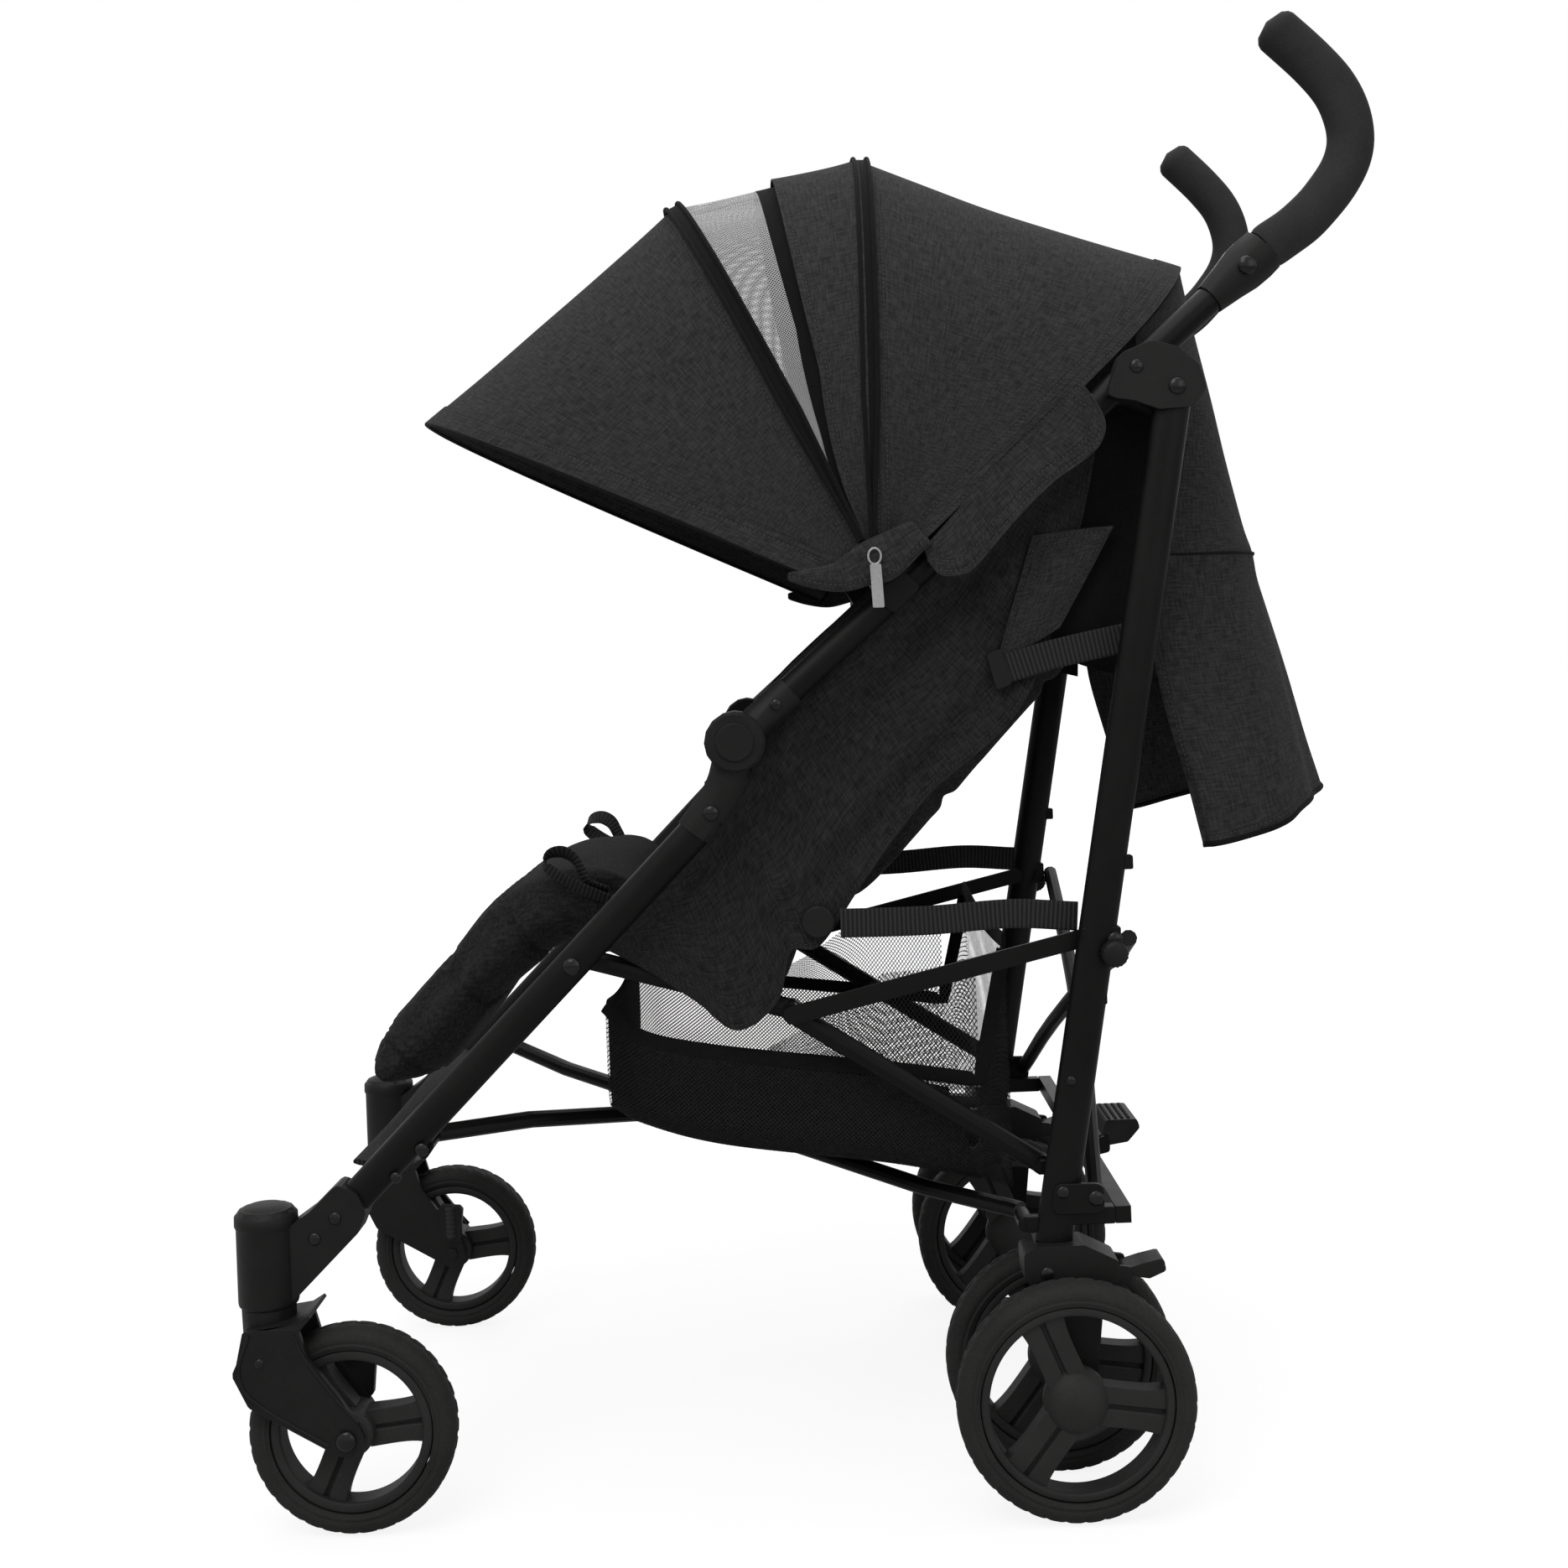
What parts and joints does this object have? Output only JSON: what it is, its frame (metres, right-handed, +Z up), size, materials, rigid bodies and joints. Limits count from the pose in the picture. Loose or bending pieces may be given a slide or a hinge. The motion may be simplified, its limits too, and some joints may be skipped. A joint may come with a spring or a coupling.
{
  "type": "buggy",
  "caption": "Umbrella-fold buggy with folding hood, reclining seat, swivelling front casters, twin rear wheels and basket",
  "frame": {"origin": "bounding box bottom centre, on the floor", "axes": "+Z up, +X to the rider's left, -Y to the front"},
  "size_m": [0.5016, 0.8414, 1.0561],
  "materials": {
    "black_tube": "satin",
    "black_plastic": "matte",
    "grip_foam": "matte",
    "tyre": "matte",
    "wheel_plastic": "satin",
    "charcoal_fabric": "matte",
    "grey_mesh": "matte",
    "black_mesh": "matte"
  },
  "bodies": {
    "rear_frame": {"axle_housing_left": "black_plastic", "axle_housing_right": "black_plastic", "lock_brace": "black_tube", "rear_cross_left": "black_tube", "rear_cross_right": "black_tube", "rear_leg_left": "black_tube", "rear_leg_right": "black_tube"},
    "backrest": {"backrest": "charcoal_fabric"},
    "frame": {"basket": "black_mesh", "caster_head_left": "black_plastic", "caster_head_right": "black_plastic", "footrest": "black_plastic", "handle_grip_left": "grip_foam", "handle_grip_right": "grip_foam", "handle_socket_left": "black_plastic", "handle_socket_right": "black_plastic", "hood_back": "charcoal_fabric", "knee_left": "black_plastic", "knee_right": "black_plastic", "leg_bracket_left": "black_plastic", "leg_bracket_right": "black_plastic", "lower_tube_left": "black_tube", "lower_tube_right": "black_tube", "rear_curtain": "charcoal_fabric", "recline_hinge_left": "black_plastic", "recline_hinge_right": "black_plastic", "seat": "charcoal_fabric", "upper_tube_left": "black_tube", "upper_tube_right": "black_tube"},
    "bow_front": {"bow_front": "black_plastic"},
    "bow_middle": {"bow_middle": "black_plastic", "hood_front": "charcoal_fabric"},
    "bow_rear": {"bow_rear": "black_plastic", "hood_window": "grey_mesh"},
    "brake_left": {"brake_pedal_left": "black_plastic"},
    "brake_right": {"brake_pedal_right": "black_plastic"},
    "floor_bars": {"floor_bar_left": "black_tube", "floor_bar_right": "black_tube"},
    "fold_pedal": {"fold_pedal": "black_plastic"},
    "caster_left": {"fork_left": "black_plastic"},
    "caster_right": {"fork_right": "black_plastic"},
    "front_wheel_left": {"front_rim_left": "wheel_plastic", "front_tyre_left": "tyre"},
    "front_wheel_right": {"front_rim_right": "wheel_plastic", "front_tyre_right": "tyre"},
    "legrest": {"legrest": "charcoal_fabric"},
    "links": {"link_left": "black_tube", "link_right": "black_tube"},
    "rear_wheel_inner_left": {"rear_rim_inner_left": "wheel_plastic", "rear_tyre_inner_left": "tyre"},
    "rear_wheel_inner_right": {"rear_rim_inner_right": "wheel_plastic", "rear_tyre_inner_right": "tyre"},
    "rear_wheel_outer_left": {"rear_rim_outer_left": "wheel_plastic", "rear_tyre_outer_left": "tyre"},
    "rear_wheel_outer_right": {"rear_rim_outer_right": "wheel_plastic", "rear_tyre_outer_right": "tyre"},
    "seat_tubes": {"seat_tube_left": "black_tube", "seat_tube_right": "black_tube"},
    "stays": {"stay_left": "black_tube", "stay_right": "black_tube"}
  },
  "joints": [
    {"name": "fold", "type": "hinge", "parent": "frame", "child": "rear_frame", "pos_m": [0, 0.26679, 0.787], "axis": [-1, 0, 0], "range_deg": [0, 25], "deforming": ["basket", "seat", "backrest", "legrest"]},
    {"name": "seat_tube_drop", "type": "hinge", "parent": "frame", "child": "seat_tubes", "pos_m": [0, -0.17521, 0.394], "axis": [-1, 0, 0], "range_deg": [0, 108.28]},
    {"name": "stay_turn", "type": "hinge", "parent": "rear_frame", "child": "stays", "pos_m": [0, 0.15379, 0.235], "axis": [1, 0, 0], "range_deg": [0, 78.76]},
    {"name": "link_turn", "type": "hinge", "parent": "stays", "child": "links", "pos_m": [0, -0.02121, 0.35], "axis": [-1, 0, 0], "range_deg": [0, 42.31]},
    {"name": "floor_bar_lift", "type": "hinge", "parent": "frame", "child": "floor_bars", "pos_m": [0, -0.28621, 0.269], "axis": [1, 0, 0], "range_deg": [0, 63.06]},
    {"name": "fold_pedal_press", "type": "hinge", "parent": "rear_frame", "child": "fold_pedal", "pos_m": [0, 0.22129, 0.208], "axis": [-1, 0, 0], "range_deg": [0, 20]},
    {"name": "brake_left", "type": "hinge", "parent": "rear_frame", "child": "brake_left", "pos_m": [0.205, 0.20729, 0.1635], "axis": [-1, 0, 0], "range_deg": [0, 15]},
    {"name": "caster_swivel_left", "type": "hinge", "parent": "frame", "child": "caster_left", "pos_m": [0.208, -0.39921, 0.163], "axis": [0, 0, 1], "continuous": true},
    {"name": "front_wheel_left", "type": "hinge", "parent": "caster_left", "child": "front_wheel_left", "pos_m": [0.208, -0.34221, 0.0735], "axis": [1, 0, 0], "continuous": true},
    {"name": "rear_wheel_outer_left", "type": "hinge", "parent": "rear_frame", "child": "rear_wheel_outer_left", "pos_m": [0.235, 0.16579, 0.0835], "axis": [1, 0, 0], "continuous": true},
    {"name": "rear_wheel_inner_left", "type": "hinge", "parent": "rear_frame", "child": "rear_wheel_inner_left", "pos_m": [0.15, 0.16579, 0.0835], "axis": [1, 0, 0], "continuous": true},
    {"name": "brake_right", "type": "hinge", "parent": "rear_frame", "child": "brake_right", "pos_m": [-0.205, 0.20729, 0.1635], "axis": [-1, 0, 0], "range_deg": [0, 15]},
    {"name": "caster_swivel_right", "type": "hinge", "parent": "frame", "child": "caster_right", "pos_m": [-0.208, -0.39921, 0.163], "axis": [0, 0, 1], "continuous": true},
    {"name": "front_wheel_right", "type": "hinge", "parent": "caster_right", "child": "front_wheel_right", "pos_m": [-0.208, -0.34221, 0.0735], "axis": [1, 0, 0], "continuous": true},
    {"name": "rear_wheel_outer_right", "type": "hinge", "parent": "rear_frame", "child": "rear_wheel_outer_right", "pos_m": [-0.235, 0.16579, 0.0835], "axis": [1, 0, 0], "continuous": true},
    {"name": "rear_wheel_inner_right", "type": "hinge", "parent": "rear_frame", "child": "rear_wheel_inner_right", "pos_m": [-0.15, 0.16579, 0.0835], "axis": [1, 0, 0], "continuous": true},
    {"name": "hood_rear_bow", "type": "hinge", "parent": "frame", "child": "bow_rear", "pos_m": [0, 0.04779, 0.67], "axis": [-1, 0, 0], "range_deg": [0, 33], "deforming": ["hood_back"]},
    {"name": "hood_middle_bow", "type": "hinge", "parent": "bow_rear", "child": "bow_middle", "pos_m": [0, 0.04779, 0.67], "axis": [-1, 0, 0], "range_deg": [0, 21.06], "deforming": ["hood_window"]},
    {"name": "hood_front_bow", "type": "hinge", "parent": "bow_middle", "child": "bow_front", "pos_m": [0, 0.04779, 0.67], "axis": [-1, 0, 0], "range_deg": [0, 34.06], "deforming": ["hood_front"]},
    {"name": "backrest_recline", "type": "hinge", "parent": "frame", "child": "backrest", "pos_m": [0, -0.00021, 0.415], "axis": [1, 0, 0], "range_deg": [0, 25]},
    {"name": "legrest_lift", "type": "hinge", "parent": "frame", "child": "legrest", "pos_m": [0, -0.15521, 0.421], "axis": [-1, 0, 0], "range_deg": [0, 35]}
  ],
  "couplings": [
    {"joint": "seat_tube_drop", "follows": "fold", "ratio": 4.329},
    {"joint": "stay_turn", "follows": "fold", "ratio": 3.148},
    {"joint": "link_turn", "follows": "fold", "ratio": 1.69},
    {"joint": "floor_bar_lift", "follows": "fold", "ratio": 2.52},
    {"joint": "hood_middle_bow", "follows": "hood_rear_bow", "ratio": 0.6364},
    {"joint": "hood_front_bow", "follows": "hood_rear_bow", "ratio": 1.0303}
  ]
}
